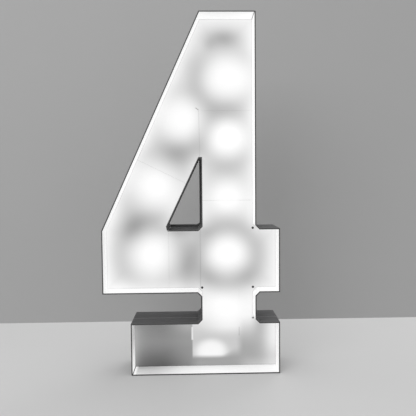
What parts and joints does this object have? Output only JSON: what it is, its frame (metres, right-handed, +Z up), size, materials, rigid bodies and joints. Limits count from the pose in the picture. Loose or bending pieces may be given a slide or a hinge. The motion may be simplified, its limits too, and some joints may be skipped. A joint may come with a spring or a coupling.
{
  "type": "light up marquee number",
  "caption": "Free-standing light box shaped as a slab-serif figure 4: deep open visor, glowing translucent face with globe lamps behind, hinged service hatch and rocker switch at the back.",
  "frame": {"origin": "middle of the base, on the surface it stands on, half way through the depth", "axes": "+Z up, -Y out of the lit front, +X to the right as seen from the front"},
  "size_m": [0.592, 0.15, 1.2],
  "materials": {
    "white_sheet": "matte white expanded plastic sheet with a faint tooth",
    "back_sheet": "matte white sheet, a little greyer than the walls",
    "opal_sheet": "translucent opal film sheet, lit from behind in soft spots",
    "inner_board": "plain white board",
    "batten_wood": "planed softwood",
    "holder_plastic": "black moulded plastic",
    "frosted_glass": "frosted globe with its cap",
    "zinc_steel": "zinc plated steel",
    "lead_jacket": "white two-core lead",
    "black_plastic": "black plastic",
    "magnet_strip": "flexible magnet strip",
    "circuit_board": "green circuit board",
    "knob_plastic": "white moulded knob"
  },
  "bodies": {
    "light_box": {"visor_right_strip": "white_sheet", "visor_left_strip": "white_sheet", "visor_hole_strip": "white_sheet", "wall_right_strip": "white_sheet", "wall_left_strip": "white_sheet", "wall_hole_strip": "white_sheet", "back_panel_lower": "back_sheet", "back_panel_upper": "back_sheet", "diffuser_top_sheet": "opal_sheet", "diffuser_stem_sheet": "opal_sheet", "diffuser_leg_sheet": "opal_sheet", "diffuser_crossbar_sheet": "opal_sheet", "diffuser_foot_sheet": "opal_sheet", "channel_left_board": "inner_board", "channel_right_board": "inner_board", "channel_floor_board": "inner_board", "splice_plate_leg": "inner_board", "splice_plate_stem": "inner_board", "foot_batten": "batten_wood", "top_batten": "batten_wood", "lamp_holder_1": "holder_plastic", "lamp_holder_2": "holder_plastic", "lamp_holder_3": "holder_plastic", "lamp_holder_4": "holder_plastic", "lamp_holder_5": "holder_plastic", "lamp_holder_6": "holder_plastic", "lamp_holder_7": "holder_plastic", "lamp_holder_8": "holder_plastic", "lamp_holder_9": "holder_plastic", "driver_transformer": "holder_plastic", "bulb_1": "frosted_glass", "bulb_2": "frosted_glass", "bulb_3": "frosted_glass", "bulb_4": "frosted_glass", "bulb_5": "frosted_glass", "bulb_6": "frosted_glass", "bulb_7": "frosted_glass", "bulb_8": "frosted_glass", "bulb_9": "frosted_glass", "back_screw_1": "zinc_steel", "back_screw_2": "zinc_steel", "back_screw_3": "zinc_steel", "back_screw_4": "zinc_steel", "hatch_fixed_leaf": "zinc_steel", "hatch_hinge_pin": "zinc_steel", "power_inlet_nut": "zinc_steel", "lamp_lead": "lead_jacket", "switch_lead": "lead_jacket", "inlet_lead": "lead_jacket", "switch_housing": "black_plastic", "power_inlet": "black_plastic", "driver_box": "black_plastic", "driver_box_lid": "black_plastic", "hatch_magnet": "magnet_strip", "driver_board": "circuit_board"},
    "hatch": {"hatch_door": "back_sheet", "hatch_strike": "zinc_steel", "hatch_knob": "knob_plastic", "hatch_door_leaf": "zinc_steel"},
    "rocker": {"switch_rocker": "black_plastic"}
  },
  "joints": [
    {"name": "hatch_hinge", "type": "hinge", "parent": "light_box", "child": "hatch", "pos_m": [-0.166, 0.0699, 0.086], "axis": [0, 0, 1], "range_deg": [0, 110]},
    {"name": "rocker_pivot", "type": "hinge", "parent": "light_box", "child": "rocker", "pos_m": [-0.03, 0.0668, 0.122], "axis": [1, 0, 0], "range_deg": [-20, 0]}
  ]
}
